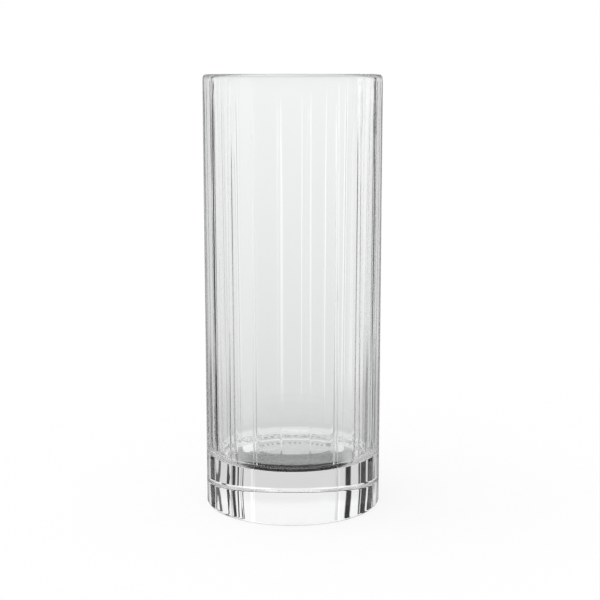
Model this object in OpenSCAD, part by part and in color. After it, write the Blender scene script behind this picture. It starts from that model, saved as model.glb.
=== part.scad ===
// Highball glass, moulded in one piece: a straight tumbler with shallow panels round its outside,
// a soft rounded lip, a thick solid base and a very shallow hollow under its foot.
// +Z is up. The origin is the centre of the foot, on the surface that the glass stands on.

/* [Body] */
// Height from the table to the top of the lip
height = 166; // [130:1:190]
// Diameter across the narrow lands between the panels
body_d = 68; // [60:0.5:80]
// Number of panels round the body
panel_count = 20; // [16:1:24]
// Width of the rounded land left between two panels
land_w = 0.7; // [0.3:0.1:1.5]
// Turn in degrees where a panel meets a land: the panels bulge, and are flatter with more turn
edge_turn = 0.9; // [0.5:0.1:3]

/* [Rim] */
// Thickness of the lip, whose top is a full round
lip_w = 3; // [2:0.1:4]
// Height of the soft roll that draws the outside in below the lip
roll_h = 3; // [2.5:0.1:5]
// Radius of that roll
roll_r = 14; // [8:0.5:30]

/* [Bowl] */
// Slope of the bowl's wall in degrees, which thickens the glass towards the floor
bowl_draft = 0.7; // [0.1:0.05:1]
// Thickness of the solid base, from the table to the bowl's floor
base_h = 19; // [12:0.5:26]
// Radius of the round corner between the bowl's wall and its floor
bowl_corner_r = 4.5; // [1:0.5:8]

/* [Foot] */
// Radius of the rounded edge of the foot
foot_r = 1.2; // [0.5:0.1:3]
// Width of the flat ring that the glass stands on
ring_w = 3; // [2:0.2:8]
// Depth of the hollow inside that ring, at its middle
punt_h = 0.3; // [0.2:0.1:2]

/* [Hidden] */
$fn = 180;
// How far a cut runs past the surface that it opens
overrun = 1;

body_r = body_d / 2;
panel_turn = 360 / panel_count;
land_turn = land_w / body_r * 180 / PI;
half_turn = (panel_turn - land_turn) / 2;
panel_r = body_r * sin(half_turn) / sin(half_turn - edge_turn);
panel_x = body_r * cos(half_turn) - panel_r * cos(half_turn - edge_turn);

lip_r = lip_w / 2;
lip_z = height - lip_r;
roll_z = height - roll_h;
roll_turn = asin((lip_z - roll_z) / (roll_r - lip_r));
roll_x = body_r - roll_r;
lip_x = roll_x + (roll_r - lip_r) * cos(roll_turn);

corner_z = base_h + bowl_corner_r;
corner_x = bowl_r(corner_z) - bowl_corner_r / cos(bowl_draft);

punt_r = body_r - foot_r - ring_w;
dome_r = (punt_r * punt_r + punt_h * punt_h) / (2 * punt_h);

// Radius of the bowl's sloping wall at a height, on the line that touches the lip's round
function bowl_r(z) = lip_x - lip_r / cos(bowl_draft) - (lip_z - z) * tan(bowl_draft);

// A point at a distance and an angle from a centre, in the plane of the half sections
function polar(centre, r, angle) = centre + r * [cos(angle), sin(angle)];

// Half section of the solid blank: rounded foot, straight side and the roll below the lip
module blank_section() {
    translate([0, foot_r]) square([body_r, roll_z - foot_r]);
    square([body_r - foot_r, foot_r]);
    translate([body_r - foot_r, foot_r]) circle(r = foot_r);
    intersection() {
        translate([roll_x, roll_z]) circle(r = roll_r);
        translate([0, roll_z]) square([body_r, roll_h]);
    }
}

// Half section of what the lip's round and the bowl take away: sloping wall, round corner, flat floor
module bowl_section() {
    lip = [lip_x, lip_z];
    corner = [corner_x, corner_z];
    polygon([
        [0, base_h],
        [corner_x, base_h],
        polar(corner, bowl_corner_r, -bowl_draft),
        polar(lip, lip_r, 180 - bowl_draft),
        lip,
        polar(lip, lip_r + overrun, roll_turn),
        [body_r + overrun, height + overrun],
        [0, height + overrun]
    ]);
    translate(corner) circle(r = bowl_corner_r);
}

// Half section of the wall and base with the full round on top of the lip
module glass_section() {
    difference() {
        blank_section();
        bowl_section();
    }
    translate([lip_x, lip_z]) circle(r = lip_r);
}

// Prism whose sides are the bulging panels, one of them facing +X: each is part of a wide circle
module panel_prism() {
    linear_extrude(height = height + overrun)
        intersection_for (i = [0:panel_count - 1])
            rotate(i * panel_turn)
                translate([panel_x, 0])
                    circle(r = panel_r);
}

// Shallow dome hollowed into the underside
module punt() {
    intersection() {
        translate([0, 0, punt_h - dome_r]) sphere(r = dome_r);
        translate([0, 0, -overrun]) cylinder(r = punt_r + overrun, h = punt_h + 2 * overrun);
    }
}

module glass_body() {
    color([0.93, 0.95, 0.95, 0.4])
        difference() {
            intersection() {
                rotate_extrude() glass_section();
                panel_prism();
            }
            punt();
        }
}

glass_body();
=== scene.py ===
import math

import bmesh
import bpy
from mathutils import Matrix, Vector


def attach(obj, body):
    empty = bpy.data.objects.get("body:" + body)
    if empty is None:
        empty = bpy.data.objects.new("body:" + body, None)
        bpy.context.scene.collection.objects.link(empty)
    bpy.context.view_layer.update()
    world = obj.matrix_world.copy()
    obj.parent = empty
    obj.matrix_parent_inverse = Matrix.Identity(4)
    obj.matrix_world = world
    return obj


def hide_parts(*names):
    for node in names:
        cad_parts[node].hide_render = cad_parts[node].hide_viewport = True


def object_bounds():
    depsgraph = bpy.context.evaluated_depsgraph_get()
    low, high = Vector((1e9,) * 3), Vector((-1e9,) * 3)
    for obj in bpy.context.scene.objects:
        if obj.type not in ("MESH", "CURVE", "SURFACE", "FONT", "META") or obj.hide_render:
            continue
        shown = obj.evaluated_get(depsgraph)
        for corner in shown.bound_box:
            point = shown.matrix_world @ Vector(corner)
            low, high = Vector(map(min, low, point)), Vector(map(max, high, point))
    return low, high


bl_info = {
    "name": "Highball Glass",
    "version": (1, 0, 0),
    "blender": (4, 5, 0),
    "location": "View3D > Sidebar > Highball",
    "description": "A clear panelled highball glass and the plain studio that it stands in",
    "category": "Add Mesh",
}

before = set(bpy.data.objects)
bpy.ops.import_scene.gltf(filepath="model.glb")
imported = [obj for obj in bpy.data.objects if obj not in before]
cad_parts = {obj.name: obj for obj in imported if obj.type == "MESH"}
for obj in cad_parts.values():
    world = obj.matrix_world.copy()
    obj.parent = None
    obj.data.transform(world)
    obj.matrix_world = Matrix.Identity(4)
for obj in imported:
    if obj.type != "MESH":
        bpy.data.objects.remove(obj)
CAD_LOW, CAD_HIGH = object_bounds()

GLASS_NODE = "glass_body"
GLASS_PIECE = "moulded_glass"


# Sizes and finishes


class GlassSizes(bpy.types.PropertyGroup):
    """Sizes of the glass, the same as the ones that the part's source gives."""

    height: bpy.props.FloatProperty(
        name="Height",
        description="From the table to the top of the lip",
        default=CAD_HIGH.z - CAD_LOW.z,
        unit="LENGTH",
    )
    body_diameter: bpy.props.FloatProperty(
        name="Body diameter",
        description="Across the narrow lands between the panels",
        default=0.06798,
        unit="LENGTH",
    )
    panel_count: bpy.props.IntProperty(
        name="Panels", description="Number of panels round the body", default=20, min=3
    )
    land_width: bpy.props.FloatProperty(
        name="Land width",
        description="Width of the rounded land left between two panels",
        default=0.0007,
        unit="LENGTH",
    )
    edge_turn: bpy.props.FloatProperty(
        name="Edge turn",
        description="Turn of the surface where a panel meets a land",
        default=math.radians(0.9),
        subtype="ANGLE",
    )
    lip_width: bpy.props.FloatProperty(
        name="Lip width",
        description="Thickness of the lip, whose top is a full round",
        default=0.003,
        unit="LENGTH",
    )
    roll_height: bpy.props.FloatProperty(
        name="Roll height",
        description="Height of the soft roll below the lip",
        default=0.003,
        unit="LENGTH",
    )
    roll_radius: bpy.props.FloatProperty(
        name="Roll radius", description="Radius of that roll", default=0.014, unit="LENGTH"
    )
    bowl_draft: bpy.props.FloatProperty(
        name="Bowl draft",
        description="Slope of the bowl's wall, which thickens the glass downwards",
        default=math.radians(0.7),
        subtype="ANGLE",
    )
    base_height: bpy.props.FloatProperty(
        name="Base height",
        description="From the table to the bowl's floor",
        default=0.019,
        unit="LENGTH",
    )
    bowl_corner: bpy.props.FloatProperty(
        name="Bowl corner",
        description="Radius of the corner between the bowl's wall and floor",
        default=0.0045,
        unit="LENGTH",
    )
    foot_radius: bpy.props.FloatProperty(
        name="Foot radius",
        description="Radius of the rounded edge of the foot",
        default=0.0012,
        unit="LENGTH",
    )
    ring_width: bpy.props.FloatProperty(
        name="Ring width",
        description="Width of the flat ring that the glass stands on",
        default=0.003,
        unit="LENGTH",
    )
    hollow_depth: bpy.props.FloatProperty(
        name="Hollow depth",
        description="Depth of the hollow under the foot",
        default=0.0003,
        unit="LENGTH",
    )
    line_depth: bpy.props.FloatProperty(
        name="Line depth",
        description="Depth of the hairline groove between two panels",
        default=0.00013,
        unit="LENGTH",
    )
    line_width: bpy.props.FloatProperty(
        name="Line width",
        description="Width of that hairline groove",
        default=0.00015,
        unit="LENGTH",
    )
    groove_depth: bpy.props.FloatProperty(
        name="Groove depth",
        description="Depth of the soft groove inside the bowl, behind each hairline groove",
        default=0.0002,
        unit="LENGTH",
    )
    groove_width: bpy.props.FloatProperty(
        name="Groove width",
        description="Width of that soft groove",
        default=0.0005,
        unit="LENGTH",
    )
    groove_fade: bpy.props.FloatProperty(
        name="Groove fade",
        description="Distance below the lip over which the soft grooves come in",
        default=0.045,
        unit="LENGTH",
    )
    columns: bpy.props.IntProperty(
        name="Columns", description="Columns of faces in one panel", default=20, min=4
    )


class GlassFinish(bpy.types.PropertyGroup):
    """Colour and surface of the clear glass."""

    tint: bpy.props.FloatVectorProperty(
        name="Tint",
        description="Colour of the clear glass",
        default=(0.985, 0.99, 0.988),
        subtype="COLOR",
        size=3,
    )
    ior: bpy.props.FloatProperty(
        name="IOR", description="Index of refraction of soda-lime glass", default=1.52
    )
    wave_depth: bpy.props.FloatProperty(
        name="Wave depth",
        description="Depth of the soft waves that fire polishing leaves",
        default=0.00002,
        unit="LENGTH",
    )


class StudioLook(bpy.types.PropertyGroup):
    """The pale floor, the soft light and the camera."""

    camera_distance: bpy.props.FloatProperty(
        name="Camera distance",
        description="From the lens to the axis of the glass, level with the lip",
        default=0.507,
        unit="LENGTH",
    )
    camera_turn: bpy.props.FloatProperty(
        name="Camera turn",
        description="Turn of the camera round the glass",
        default=math.radians(-1.8),
        subtype="ANGLE",
    )
    camera_pitch: bpy.props.FloatProperty(
        name="Camera pitch",
        description="How far the camera looks down",
        default=math.radians(9.66),
        subtype="ANGLE",
    )
    camera_pan: bpy.props.FloatProperty(
        name="Camera pan",
        description="How far the camera looks past the axis, to the right",
        default=math.radians(0.316),
        subtype="ANGLE",
    )
    lens: bpy.props.FloatProperty(
        name="Lens", description="Focal length on a 36 mm sensor", default=79.7, unit="CAMERA"
    )
    light_bounces: bpy.props.IntProperty(
        name="Light bounces",
        description="How many times light may turn inside the glass before it is given up",
        default=40,
        min=4,
    )
    floor_shade: bpy.props.FloatProperty(
        name="Floor shade",
        description="Share of the floor's colour that the object's shadow can darken",
        default=0.18,
        subtype="FACTOR",
    )


# The glass's half section


# Share of its depth that a hairline groove keeps round the base
BASE_LINE = 0.2


def arc(centre, radius, start, end, steps):
    """Points of an arc in the half section, from one angle to another in degrees."""
    points = []
    for i in range(steps + 1):
        angle = math.radians(start + (end - start) * i / steps)
        points.append(
            (centre[0] + radius * math.cos(angle), centre[1] + radius * math.sin(angle))
        )
    return points


def line(start, end, steps):
    """Points on a straight line between two points, the ends left out."""
    return [
        (
            start[0] + (end[0] - start[0]) * i / steps,
            start[1] + (end[1] - start[1]) * i / steps,
        )
        for i in range(1, steps)
    ]


def half_section(s):
    """Points from under the foot, up the outside and down to the middle of the bowl's floor.

    Each is (distance from the axis, height, share): 1 has the whole hairline groove between the
    panels, -1 the whole soft groove inside the bowl.
    """
    body = s.body_diameter / 2
    hollow = body - s.foot_radius - s.ring_width
    dome = (hollow**2 + s.hollow_depth**2) / (2 * s.hollow_depth)
    dome_end = math.degrees(math.acos(hollow / dome))
    under = arc((0, s.hollow_depth - dome), dome, 90, dome_end, 16)
    under[0] = (0.0, under[0][1])
    under[-1] = (under[-1][0], 0.0)

    foot_x = body - s.foot_radius
    foot = arc((foot_x, s.foot_radius), s.foot_radius, -90, 0, 10)
    foot[0] = (foot[0][0], 0.0)

    lip = s.lip_width / 2
    lip_z = s.height - lip
    roll_z = s.height - s.roll_height
    roll_x = body - s.roll_radius
    roll_turn = math.asin((lip_z - roll_z) / (s.roll_radius - lip))
    lip_x = roll_x + (s.roll_radius - lip) * math.cos(roll_turn)
    roll = arc((roll_x, roll_z), s.roll_radius, 0, math.degrees(roll_turn), 6)
    draft = s.bowl_draft
    rim = arc(
        (lip_x, lip_z), lip, math.degrees(roll_turn), 180 - math.degrees(draft), 24
    )

    def wall(z):
        return lip_x - lip / math.cos(draft) - (lip_z - z) * math.tan(draft)

    corner_z = s.base_height + s.bowl_corner
    corner_x = wall(corner_z) - s.bowl_corner / math.cos(draft)
    corner = arc((corner_x, corner_z), s.bowl_corner, -math.degrees(draft), -90, 14)
    corner[-1] = (corner[-1][0], s.base_height)
    floor_middle = (0.0, s.base_height)

    section = [(r, z, 0.0) for r, z in [*under, *line(under[-1], foot[0], 6)]]
    # The hairline grooves come in over five roll heights, and are shallow round the base
    lines_top, lines_fade = roll[-1][1], 5 * s.roll_height
    for r, z in [*foot, *line(foot[-1], roll[0], 24), *roll]:
        share = min(z / s.foot_radius, (lines_top - z) / lines_fade, 1.0)
        depth = min(max((z - s.base_height) / s.bowl_corner, BASE_LINE), 1.0)
        section.append((r, z, max(share, 0.0) * depth))
    section += [(r, z, 0.0) for r, z in rim[1:]]
    for r, z in [*line(rim[-1], corner[0], 30), *corner[:-1]]:
        share = min((z - s.base_height) / s.bowl_corner, (s.height - z) / s.groove_fade, 1.0)
        section.append((r, z, -max(share, 0.0)))
    section += [(r, z, 0.0) for r, z in [corner[-1], *line(corner[-1], floor_middle, 12)]]
    section.append((*floor_middle, 0.0))
    return section


def section_mesh(s):
    """The half section as a chain of points, with each point's share of a groove."""
    points = half_section(s)
    mesh = bpy.data.meshes.new("half_section")
    mesh.from_pydata(
        [(r, 0, z) for r, z, _ in points],
        [(i, i + 1) for i in range(len(points) - 1)],
        [],
    )
    share = mesh.attributes.new("line_share", "FLOAT", "POINT")
    for i, point in enumerate(points):
        share.data[i].value = point[2]
    return mesh


# Node helpers


def blank_tree(owner):
    """An empty node tree for a material or a world."""
    owner.use_nodes = True
    owner.node_tree.nodes.clear()
    return Tree(owner.node_tree)


class Tree:
    """Adds nodes to a tree and links them, so that a formula reads from left to right."""

    def __init__(self, tree, columns=6):
        self.tree = tree
        self.columns = columns
        self.count = 0

    def add(self, kind, **settings):
        node = self.tree.nodes.new(kind)
        node.location = (
            (self.count % self.columns) * 200,
            -(self.count // self.columns) * 260,
        )
        self.count += 1
        for key, value in settings.items():
            setattr(node, key, value)
        return node

    def put(self, value, socket):
        """Links an output to a socket, or writes a plain value on it."""
        if isinstance(value, bpy.types.NodeSocket):
            self.tree.links.new(value, socket)
        else:
            socket.default_value = value

    def math(self, operation, *values):
        node = self.add("ShaderNodeMath", operation=operation)
        for value, socket in zip(values, node.inputs):
            self.put(value, socket)
        return node.outputs[0]

    def fade(self, value, start, end, low, high):
        """Goes smoothly from low to high while the value goes from start to end."""
        node = self.add("ShaderNodeMapRange", interpolation_type="SMOOTHSTEP")
        for given, socket in zip((value, start, end, low, high), node.inputs):
            self.put(given, socket)
        return node.outputs[0]

    def band(self, value, edges, high):
        """Goes from 0 to high between the first two edges, and back to 0 between the last two."""
        start, full, fall, end = edges
        return self.math(
            "MULTIPLY", self.fade(value, start, full, 0, high), self.fade(value, fall, end, 1, 0)
        )

    def off(self, value, centre):
        """How far a value is from a centre, on either side."""
        return self.math("ABSOLUTE", self.math("SUBTRACT", value, centre))

    def dim(self, value, share):
        """The value with a share of it taken away."""
        return self.math("MULTIPLY", value, self.math("SUBTRACT", 1.0, share))

    def lift(self, value, share):
        """The value with a share of it added."""
        return self.math("MULTIPLY", value, self.math("ADD", 1.0, share))

    def mix(self, share, first, second):
        """A number between two values: the first at share 0, the second at share 1."""
        node = self.add("ShaderNodeMix", data_type="FLOAT")
        self.put(share, node.inputs[0])
        self.put(first, node.inputs[2])
        self.put(second, node.inputs[3])
        return node.outputs[0]

    def curve(self, value, stops):
        """A colour ramp of greys over degrees of height, from straight down to straight up."""
        node = self.add("ShaderNodeValToRGB")
        ramp = node.color_ramp
        while len(ramp.elements) > 1:
            ramp.elements.remove(ramp.elements[-1])
        for i, (degrees, grey) in enumerate(stops):
            place = degrees / 180 + 0.5
            element = ramp.elements[0] if i == 0 else ramp.elements.new(place)
            element.position = place
            element.color = (grey, grey, grey, 1)
        self.put(self.math("ADD", self.math("DIVIDE", value, 180.0), 0.5), node.inputs[0])
        return node.outputs[0]


# The panelled revolve


# Vertices closer than this, in metres, are merged
WELD = 1e-6
# How far the columns of faces crowd towards the lines between the panels, below 1
CROWDING = 0.92


def panelled_revolve():
    """Turns a half section round the axis and presses shallow bulging panels into its outside."""
    group = bpy.data.node_groups.new("Panelled Revolve", "GeometryNodeTree")
    face = group.interface
    face.new_socket("Half Section", in_out="INPUT", socket_type="NodeSocketGeometry")
    for name, kind in (
        ("Panel Count", "NodeSocketInt"),
        ("Columns", "NodeSocketInt"),
        ("Body Radius", "NodeSocketFloat"),
        ("Land Width", "NodeSocketFloat"),
        ("Edge Turn", "NodeSocketFloat"),
        ("Line Depth", "NodeSocketFloat"),
        ("Line Width", "NodeSocketFloat"),
        ("Groove Depth", "NodeSocketFloat"),
        ("Groove Width", "NodeSocketFloat"),
        ("Material", "NodeSocketMaterial"),
    ):
        face.new_socket(name, in_out="INPUT", socket_type=kind)
    face.new_socket("Glass", in_out="OUTPUT", socket_type="NodeSocketGeometry")

    t = Tree(group)
    given = t.add("NodeGroupInput").outputs
    panels, columns, body = given["Panel Count"], given["Columns"], given["Body Radius"]

    size = t.add("GeometryNodeAttributeDomainSize", component="MESH")
    t.put(given["Half Section"], size.inputs[0])
    rows = size.outputs["Point Count"]
    grid = t.add("GeometryNodeMeshGrid")
    t.put(t.math("ADD", t.math("MULTIPLY", panels, columns), 1.0), grid.inputs["Vertices X"])
    t.put(rows, grid.inputs["Vertices Y"])

    index = t.add("GeometryNodeInputIndex").outputs[0]
    column = t.math("FLOOR", t.math("DIVIDE", t.math("ADD", index, 0.5), rows))
    row = t.math("SUBTRACT", index, t.math("MULTIPLY", column, rows))

    place = t.add("GeometryNodeInputPosition").outputs[0]
    point = t.add("GeometryNodeSampleIndex", data_type="FLOAT_VECTOR", domain="POINT")
    t.put(given["Half Section"], point.inputs["Geometry"])
    t.put(place, point.inputs["Value"])
    t.put(row, point.inputs["Index"])
    split = t.add("ShaderNodeSeparateXYZ")
    t.put(point.outputs[0], split.inputs[0])
    radius, height = split.outputs["X"], split.outputs["Z"]

    named = t.add("GeometryNodeInputNamedAttribute", data_type="FLOAT")
    named.inputs["Name"].default_value = "line_share"
    sample = t.add("GeometryNodeSampleIndex", data_type="FLOAT", domain="POINT")
    t.put(given["Half Section"], sample.inputs["Geometry"])
    t.put(named.outputs["Attribute"], sample.inputs["Value"])
    t.put(row, sample.inputs["Index"])
    share = sample.outputs[0]

    # Columns stand closer together at the lines between the panels
    panel = t.math("FLOOR", t.math("DIVIDE", t.math("ADD", column, 0.5), columns))
    along = t.math("SUBTRACT", t.math("DIVIDE", column, columns), panel)
    wave = t.math("SINE", t.math("MULTIPLY", along, math.tau))
    along = t.math("SUBTRACT", along, t.math("MULTIPLY", wave, CROWDING / math.tau))
    panel_turn = t.math("DIVIDE", math.tau, panels)
    off_middle = t.math("MULTIPLY", t.math("SUBTRACT", along, 0.5), panel_turn)
    angle = t.math("ADD", t.math("MULTIPLY", panel, panel_turn), off_middle)

    # A panel is part of a wide circle through the edges of the two lands beside it
    half = t.math(
        "MULTIPLY",
        t.math("SUBTRACT", panel_turn, t.math("DIVIDE", given["Land Width"], body)),
        0.5,
    )
    bend = t.math("SUBTRACT", half, given["Edge Turn"])
    wide = t.math(
        "DIVIDE", t.math("MULTIPLY", body, t.math("SINE", half)), t.math("SINE", bend)
    )
    centre = t.math(
        "SUBTRACT",
        t.math("MULTIPLY", body, t.math("COSINE", half)),
        t.math("MULTIPLY", wide, t.math("COSINE", bend)),
    )
    aside = t.math("MULTIPLY", centre, t.math("SINE", off_middle))
    reach = t.math(
        "SQRT", t.math("SUBTRACT", t.math("MULTIPLY", wide, wide), t.math("MULTIPLY", aside, aside))
    )
    panel_radius = t.math("ADD", t.math("MULTIPLY", centre, t.math("COSINE", off_middle)), reach)
    pressed = t.math("MINIMUM", radius, panel_radius)

    # A hairline groove is pressed in where two panels meet, with a soft one inside the bowl behind it
    from_line = t.math(
        "MULTIPLY",
        t.math("SUBTRACT", t.math("MULTIPLY", panel_turn, 0.5), t.math("ABSOLUTE", off_middle)),
        body,
    )
    outwards = t.math("MULTIPLY", share, -1.0)
    for depth, width, part in (
        ("Line Depth", "Line Width", t.math("MINIMUM", outwards, 0.0)),
        ("Groove Depth", "Groove Width", t.math("MAXIMUM", outwards, 0.0)),
    ):
        ratio = t.math("DIVIDE", from_line, given[width])
        bell = t.math("EXPONENT", t.math("MULTIPLY", t.math("MULTIPLY", ratio, ratio), -1.0))
        moved = t.math("MULTIPLY", t.math("MULTIPLY", bell, given[depth]), part)
        pressed = t.math("ADD", pressed, moved)

    spot = t.add("ShaderNodeCombineXYZ")
    t.put(t.math("MULTIPLY", pressed, t.math("COSINE", angle)), spot.inputs["X"])
    t.put(t.math("MULTIPLY", pressed, t.math("SINE", angle)), spot.inputs["Y"])
    t.put(height, spot.inputs["Z"])
    turned = t.add("GeometryNodeSetPosition")
    t.put(grid.outputs["Mesh"], turned.inputs["Geometry"])
    t.put(spot.outputs[0], turned.inputs["Position"])
    closed = t.add("GeometryNodeMergeByDistance")
    t.put(turned.outputs[0], closed.inputs["Geometry"])
    closed.inputs["Distance"].default_value = WELD
    smooth = t.add("GeometryNodeSetShadeSmooth")
    t.put(closed.outputs[0], smooth.inputs["Geometry"])
    real = t.add("GeometryNodeRealizeInstances")
    t.put(smooth.outputs[0], real.inputs["Geometry"])
    dressed = t.add("GeometryNodeSetMaterial")
    t.put(real.outputs[0], dressed.inputs["Geometry"])
    t.put(given["Material"], dressed.inputs["Material"])
    out = t.add("NodeGroupOutput")
    t.put(dressed.outputs[0], out.inputs["Glass"])
    return group


def set_input(modifier, name, value):
    """Sets a node modifier's input by the identifier of its socket."""
    for item in modifier.node_group.interface.items_tree:
        if item.item_type == "SOCKET" and item.in_out == "INPUT" and item.name == name:
            modifier[item.identifier] = value
            return
    raise RuntimeError(f"the tree has no input named {name}")


def placed(name, data):
    """A new object in the scene that holds the given data."""
    thing = bpy.data.objects.new(name, data)
    bpy.context.scene.collection.objects.link(thing)
    return thing


def bake(carrier, name):
    """The evaluated shape of a carrier object as a plain mesh object of its own."""
    graph = bpy.context.evaluated_depsgraph_get()
    mesh = bpy.data.meshes.new_from_object(carrier.evaluated_get(graph), depsgraph=graph)
    mesh.name = name
    carrier.modifiers.clear()
    bpy.data.objects.remove(carrier)
    shape = bmesh.new()
    shape.from_mesh(mesh)
    bmesh.ops.remove_doubles(shape, verts=shape.verts, dist=WELD)
    bmesh.ops.recalc_face_normals(shape, faces=shape.faces)
    shape.to_mesh(mesh)
    shape.free()
    return placed(name, mesh)


# The clear glass


def clear_glass(finish):
    """Clear glass with faint waves in its skin and a softer, scuffed ring where it stands."""
    material = bpy.data.materials.new("clear_moulded_glass")
    t = blank_tree(material)
    place = t.add("ShaderNodeTexCoord").outputs["Object"]
    split = t.add("ShaderNodeSeparateXYZ")
    t.put(place, split.inputs[0])

    stretched = t.add("ShaderNodeMapping")
    stretched.inputs["Scale"].default_value = (1, 1, 0.35)
    t.put(place, stretched.inputs["Vector"])
    waves = t.add("ShaderNodeTexNoise")
    waves.inputs["Scale"].default_value = 90
    waves.inputs["Detail"].default_value = 1
    t.put(stretched.outputs[0], waves.inputs["Vector"])
    bump = t.add("ShaderNodeBump")
    bump.inputs["Strength"].default_value = 1
    bump.inputs["Distance"].default_value = finish.wave_depth
    t.put(waves.outputs[0], bump.inputs["Height"])

    clouds = t.add("ShaderNodeTexNoise")
    clouds.inputs["Scale"].default_value = 40
    t.put(place, clouds.inputs["Vector"])
    tone = t.add("ShaderNodeMix", data_type="RGBA")
    tint = finish.tint
    tone.inputs[6].default_value = (*tint, 1)
    tone.inputs[7].default_value = (tint[0] * 0.985, tint[1] * 0.99, tint[2] * 0.99, 1)
    t.put(clouds.outputs[0], tone.inputs[0])

    scuff = t.add("ShaderNodeTexNoise")
    scuff.inputs["Scale"].default_value = 900
    t.put(place, scuff.inputs["Vector"])
    low = t.math("LESS_THAN", split.outputs["Z"], 0.00002)
    worn = t.math("MULTIPLY", t.math("MULTIPLY", low, scuff.outputs[0]), 0.02)

    shader = t.add("ShaderNodeBsdfPrincipled")
    shader.inputs["Transmission Weight"].default_value = 1
    shader.inputs["IOR"].default_value = finish.ior
    t.put(tone.outputs[2], shader.inputs["Base Color"])
    t.put(worn, shader.inputs["Roughness"])
    t.put(bump.outputs[0], shader.inputs["Normal"])
    out = t.add("ShaderNodeOutputMaterial")
    t.put(shader.outputs[0], out.inputs["Surface"])
    return material


class HIGHBALL_OT_glass(bpy.types.Operator):
    """Makes the moulded glass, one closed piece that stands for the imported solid"""

    bl_idname = "highball.glass"
    bl_label = "Make the glass"

    def execute(self, context):
        sizes = context.scene.highball_sizes
        finish = context.scene.highball_finish
        carrier = placed("half_section", section_mesh(sizes))
        revolve = carrier.modifiers.new("revolve", "NODES")
        revolve.node_group = panelled_revolve()
        for name, value in (
            ("Panel Count", sizes.panel_count),
            ("Columns", sizes.columns),
            ("Body Radius", sizes.body_diameter / 2),
            ("Land Width", sizes.land_width),
            ("Edge Turn", sizes.edge_turn),
            ("Line Depth", sizes.line_depth),
            ("Line Width", sizes.line_width),
            ("Groove Depth", sizes.groove_depth),
            ("Groove Width", sizes.groove_width),
            ("Material", clear_glass(finish)),
        ):
            set_input(revolve, name, value)
        glass = bake(carrier, GLASS_PIECE)
        if not glass.data.polygons:
            raise RuntimeError("the glass came out empty")
        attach(glass, "root")
        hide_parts(GLASS_NODE)
        return {"FINISHED"}


# The studio


# Brightness of the white sweep round the glass, by height above the horizon in degrees
SWEEP = (
    (-90, 0.8),
    (-33, 0.8),
    (-29, 0.66),
    (-20, 0.66),
    (-17, 0.7),
    (-14, 0.79),
    (-10, 0.86),
    (-5, 0.92),
    (0, 0.97),
    (13, 0.99),
    (15, 0.88),
    (16.6, 0.88),
    (18.5, 1.0),
    (90, 0.9),
)

# Dark cards round the glass: place and width in degrees, and darkness. The first ones stand below
# and above the bowl's level, where the base shows them, and the others at that level.
BASE_CARDS = (
    (-21.9, 0.3, 0.3),
    (-29.5, 2.8, 1.0),
    (-39.4, 0.6, 1.0),
    (-44.5, 5.6, 1.0),
    (-56, 9.4, 1.0),
    (-74, 6, 0.5),
    (27.2, 1.6, 1.0),
    (32.6, 1.5, 1.0),
    (46.4, 2.0, 0.9),
    (59.4, 10, 1.0),
    (79, 6, 0.5),
)
BOWL_CARDS = (
    (-44.5, 5, 0.97),
    (37.5, 4.5, 0.9),
    (-74, 8, 0.8),
    (72, 8, 0.8),
)
# Width of the soft edge of a card
CARD_EDGE = 1.2
# Heights between which the bowl's level passes into the base's
LEVEL_EDGES = (12, 15)

# Bright ribbons between the cards: place in degrees and how much brighter than the sweep
RIBBONS = ((19.0, 0.18), (-23.1, 0.12))
# Half widths of a ribbon, without and with its soft edge
RIBBON_EDGES = (0.4, 1.1)

# Brighter sweep beside the glass: where it starts, is whole, starts to end and ends, by turn and height
SIDE_TURNS = (7, 11, 22, 28)
SIDE_HEIGHTS = (-15.5, -13.5, 9, 12)
# The same heights of the dark valance over the sweep
VALANCE_HEIGHTS = (22.4, 24, 32, 36)
# Turn of the soft strip of light that the glass reflects
STRIP_TURN = -118.0


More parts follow.
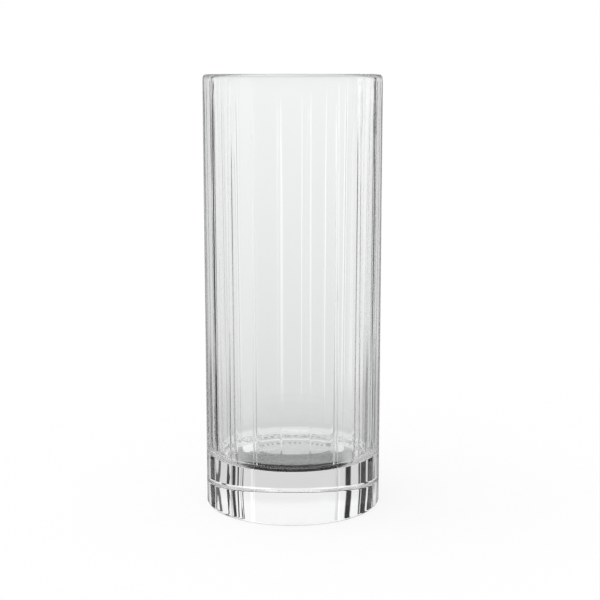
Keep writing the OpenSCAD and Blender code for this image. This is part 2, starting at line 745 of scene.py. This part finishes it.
def studio_world(look):
    """White to the camera. Glass and its reflections see soft dark cards beside the white sweep."""
    world = bpy.data.worlds.new("studio")
    t = blank_tree(world)
    direction = t.add("ShaderNodeTexCoord").outputs["Generated"]
    split = t.add("ShaderNodeSeparateXYZ")
    t.put(direction, split.inputs[0])
    x, y, z = split.outputs
    turn = t.math("DEGREES", t.math("ADD", t.math("ARCTAN2", x, y), look.camera_turn))
    rise = t.math("DEGREES", t.math("ARCSINE", z))
    aside = t.math("ABSOLUTE", turn)
    base = t.fade(t.math("ABSOLUTE", rise), *LEVEL_EDGES, 0, 1)
    bowl = t.math("SUBTRACT", 1.0, base)
    seen = t.curve(rise, SWEEP)
    for cards, level in ((BASE_CARDS, base), (BOWL_CARDS, bowl)):
        for centre, width, dark in cards:
            cover = t.fade(t.off(turn, centre), width / 2, width / 2 + CARD_EDGE, dark, 0)
            seen = t.dim(seen, t.math("MULTIPLY", cover, level))
    for centre, bright in RIBBONS:
        seen = t.lift(seen, t.fade(t.off(turn, centre), *RIBBON_EDGES, bright, 0))
    # At the bowl's level the sweep is brighter beside the glass, so that the hairline grooves shine
    beside = t.math("MULTIPLY", t.band(aside, SIDE_TURNS, 1), t.fade(turn, -1, 1, 0.1, 0.2))
    seen = t.lift(seen, t.math("MULTIPLY", beside, t.band(rise, SIDE_HEIGHTS, 1)))
    # A dark valance hangs over the sweep behind the glass
    valance = t.math("MULTIPLY", t.band(rise, VALANCE_HEIGHTS, 0.97), t.fade(aside, 40, 55, 1, 0))
    seen = t.dim(seen, valance)
    # Light that has gone back and forth many times inside the bowl's wall comes out dimmer
    path = t.add("ShaderNodeLightPath").outputs
    tired = t.fade(path["Glossy Depth"], 2.5, 4.5, 0, 0.8)
    seen = t.dim(seen, t.math("MULTIPLY", tired, bowl))
    # Reflections see the sweep ahead, a dim room beside it, the ceiling and one soft strip of light
    mirrored = t.math("ADD", t.fade(aside, 8, 20, 1.0, 0.1), t.fade(aside, 60, 90, 0.0, 0.1))
    mirrored = t.math("MAXIMUM", mirrored, t.fade(rise, 10, 40, 0, 0.9))
    mirrored = t.math("ADD", mirrored, t.fade(t.off(turn, STRIP_TURN), 6, 10, 0.6, 0))
    final = 0.8
    for flag, light in (
        ("Is Glossy Ray", mirrored),
        ("Is Transmission Ray", seen),
        ("Is Camera Ray", 1.0),
    ):
        final = t.mix(path[flag], final, light)
    background = t.add("ShaderNodeBackground")
    background.inputs["Color"].default_value = (1, 1, 1, 1)
    t.put(final, background.inputs["Strength"])
    out = t.add("ShaderNodeOutputWorld")
    t.put(background.outputs[0], out.inputs["Surface"])
    return world


def pale_floor(look):
    """White floor that keeps part of the shadow that falls on it."""
    material = bpy.data.materials.new("pale_floor")
    t = blank_tree(material)
    lit = t.add("ShaderNodeBsdfDiffuse")
    lit.inputs["Color"].default_value = (0.9, 0.9, 0.9, 1)
    white = t.add("ShaderNodeEmission")
    place = t.add("ShaderNodeTexCoord").outputs["Object"]
    away = t.add("ShaderNodeVectorMath", operation="LENGTH")
    t.put(place, away.inputs[0])
    # The shadow is kept near the glass and is gone 0.3 m away
    both = t.add("ShaderNodeMixShader")
    t.put(t.fade(away.outputs["Value"], 0.05, 0.3, look.floor_shade, 0), both.inputs[0])
    t.put(white.outputs[0], both.inputs[1])
    t.put(lit.outputs[0], both.inputs[2])
    path = t.add("ShaderNodeLightPath").outputs
    shown = t.add("ShaderNodeMixShader")
    t.put(path["Is Camera Ray"], shown.inputs[0])
    t.put(lit.outputs[0], shown.inputs[1])
    t.put(both.outputs[0], shown.inputs[2])
    out = t.add("ShaderNodeOutputMaterial")
    t.put(shown.outputs[0], out.inputs["Surface"])
    return material


# Painted pools of light on the table under the foot: place across and along, half width and
# half depth in metres, and brightness
PAINTED_POOLS = (
    (0.0016, 0.0208, 0.0155, 0.0078, 0.48),
    (-0.0186, 0.0235, 0.0028, 0.0075, 0.95),
    (0.0202, 0.0225, 0.0028, 0.0075, 0.8),
)
# Radius of the stippled ring that the glass stands on, its half widths without and with its soft
# edge, and the number of dashes of painted light round the whole of it
RING = 0.0288
RING_EDGES = (0.0007, 0.0009)
DASHES = 75
# Radii between which the plain painted light outside that ring begins, and the radius where the ring
# ends
OUTSIDE_EDGES = (0.0295, 0.0298)
RING_END = 0.0328


def foot_shade():
    """Painted shade and light of the table under the foot, which only the glass shows: dark in front,
    light behind.
    """
    material = bpy.data.materials.new("foot_shade")
    t = blank_tree(material)
    place = t.add("ShaderNodeTexCoord").outputs["Object"]
    split = t.add("ShaderNodeSeparateXYZ")
    t.put(place, split.inputs[0])
    away = t.add("ShaderNodeVectorMath", operation="LENGTH")
    t.put(place, away.inputs[0])
    radius = away.outputs["Value"]
    across, along = split.outputs["X"], split.outputs["Y"]
    aside = t.math("ABSOLUTE", across)
    painted_glow = t.fade(along, 0.0125, 0.0135, 0.004, 0.12)
    # The painted light is brighter towards the sides, except at the very front
    beside = t.math("MULTIPLY", t.fade(aside, 0.016, 0.026, 0, 0.5), t.fade(along, 0.008, 0.014, 1, 0.8))
    painted_glow = t.math("MAXIMUM", painted_glow, t.math("MULTIPLY", beside, t.fade(along, -0.017, -0.014, 0, 1)))
    for x, y, half_width, half_depth, bright in PAINTED_POOLS:
        wide = t.math("DIVIDE", t.math("SUBTRACT", across, x), half_width)
        long = t.math("DIVIDE", t.math("SUBTRACT", along, y), half_depth)
        off = t.math("ADD", t.math("POWER", wide, 2.0), t.math("POWER", long, 2.0))
        painted_glow = t.math("MAXIMUM", painted_glow, t.fade(off, 0.95, 1.05, bright, 0))
    # At the back the painted light is broken into dashes by the stippled ring, and outside it is plain
    back = t.math("MULTIPLY", t.fade(along, 0.012, 0.018, 0, 1), t.fade(aside, 0.015, 0.016, 1, 0))
    wave = t.math("SINE", t.math("MULTIPLY", t.math("ARCTAN2", across, along), DASHES))
    dashes = t.fade(wave, -0.3, 0.3, 0.02, 0.8)
    ring = t.fade(t.off(radius, RING), *RING_EDGES, 1, 0)
    outside = t.fade(radius, *OUTSIDE_EDGES, 0, 1)
    for part, light in ((outside, 0.5), (ring, dashes)):
        painted_glow = t.mix(t.math("MULTIPLY", part, back), painted_glow, light)
    # The disc glows with the painted shade and light, though it is no lamp
    white = t.add("ShaderNodeEmission")
    t.put(painted_glow, white.inputs["Strength"])
    # At the back the painted shade ends with the ring, in front it reaches under the foot's rounded edge
    past_ring = t.math("GREATER_THAN", radius, RING_END)
    open_edge = t.math("MULTIPLY", past_ring, t.math("GREATER_THAN", along, 0.0))
    both = t.add("ShaderNodeMixShader")
    t.put(open_edge, both.inputs[0])
    t.put(white.outputs[0], both.inputs[1])
    t.put(t.add("ShaderNodeBsdfTransparent").outputs[0], both.inputs[2])
    out = t.add("ShaderNodeOutputMaterial")
    t.put(both.outputs[0], out.inputs["Surface"])
    return material


class HIGHBALL_OT_studio(bpy.types.Operator):
    """Sets the pale floor, the soft light, the white surroundings and the camera"""

    bl_idname = "highball.studio"
    bl_label = "Set the studio"

    def execute(self, context):
        look = context.scene.highball_look
        sizes = context.scene.highball_sizes
        reach = 4.0
        mesh = bpy.data.meshes.new("floor")
        mesh.from_pydata(
            [(-reach, -reach, 0), (reach, -reach, 0), (reach, reach, 0), (-reach, reach, 0)],
            [],
            [(0, 1, 2, 3)],
        )
        mesh.materials.append(pale_floor(look))
        floor = placed("floor", mesh)
        floor.visible_transmission = False
        floor.visible_glossy = False

        # A disc just below the foot, which only the glass shows, glowing with painted shade and light
        disc = bmesh.new()
        bmesh.ops.create_circle(disc, cap_ends=True, radius=sizes.body_diameter / 2, segments=96)
        bmesh.ops.translate(disc, verts=disc.verts, vec=(0, 0, -0.0001))
        mesh = bpy.data.meshes.new("foot_shade")
        disc.to_mesh(mesh)
        disc.free()
        mesh.materials.append(foot_shade())
        shade = placed("foot_shade", mesh)
        shade.visible_camera = False
        shade.visible_diffuse = False
        shade.visible_shadow = False
        context.scene.world = studio_world(look)

        lamp = bpy.data.lights.new("softbox", "AREA")
        lamp.shape = "RECTANGLE"
        lamp.size = 1.2
        lamp.size_y = 0.8
        lamp.energy = 6
        softbox = placed("softbox", lamp)
        softbox.visible_transmission = False
        softbox.location = (-0.3, -0.2, 1.2)
        aim = Vector((0, 0, 0.05)) - softbox.location
        softbox.rotation_euler = aim.to_track_quat("-Z", "Y").to_euler()

        lens = bpy.data.cameras.new("camera")
        lens.sensor_width = 36
        lens.lens = look.lens
        lens.clip_start = 0.01
        camera = placed("camera", lens)
        camera.location = (
            look.camera_distance * math.sin(look.camera_turn),
            -look.camera_distance * math.cos(look.camera_turn),
            sizes.height,
        )
        camera.rotation_euler = (
            math.pi / 2 - look.camera_pitch,
            0,
            look.camera_turn - look.camera_pan,
        )
        context.scene.camera = camera
        context.scene.view_settings.view_transform = "Standard"
        # Light goes back and forth inside the wall many times before it leaves the glass
        for kind in ("max_bounces", "glossy_bounces", "transmission_bounces"):
            setattr(context.scene.cycles, kind, look.light_bounces)
        return {"FINISHED"}


# The sidebar


class HIGHBALL_PT_sidebar(bpy.types.Panel):
    """Lists the glass's sizes and finish, the studio, and the buttons that make them"""

    bl_idname = "HIGHBALL_PT_sidebar"
    bl_label = "Highball glass"
    bl_space_type = "VIEW_3D"
    bl_region_type = "UI"
    bl_category = "Highball"

    def draw(self, context):
        for title, group, button in (
            ("Sizes", context.scene.highball_sizes, HIGHBALL_OT_glass.bl_idname),
            ("Finish", context.scene.highball_finish, None),
            ("Studio", context.scene.highball_look, HIGHBALL_OT_studio.bl_idname),
        ):
            box = self.layout.box()
            box.label(text=title)
            for key in type(group).__annotations__:
                box.prop(group, key)
            if button:
                box.operator(button)


CLASSES = (
    GlassSizes,
    GlassFinish,
    StudioLook,
    HIGHBALL_OT_glass,
    HIGHBALL_OT_studio,
    HIGHBALL_PT_sidebar,
)
GROUPS = {
    "highball_sizes": GlassSizes,
    "highball_finish": GlassFinish,
    "highball_look": StudioLook,
}


def register():
    for cls in CLASSES:
        bpy.utils.register_class(cls)
    for name, cls in GROUPS.items():
        setattr(bpy.types.Scene, name, bpy.props.PointerProperty(type=cls))


def unregister():
    for name in GROUPS:
        delattr(bpy.types.Scene, name)
    for cls in reversed(CLASSES):
        bpy.utils.unregister_class(cls)


def main():
    register()
    bpy.ops.highball.glass()
    bpy.ops.highball.studio()


if __name__ == "__main__":
    main()
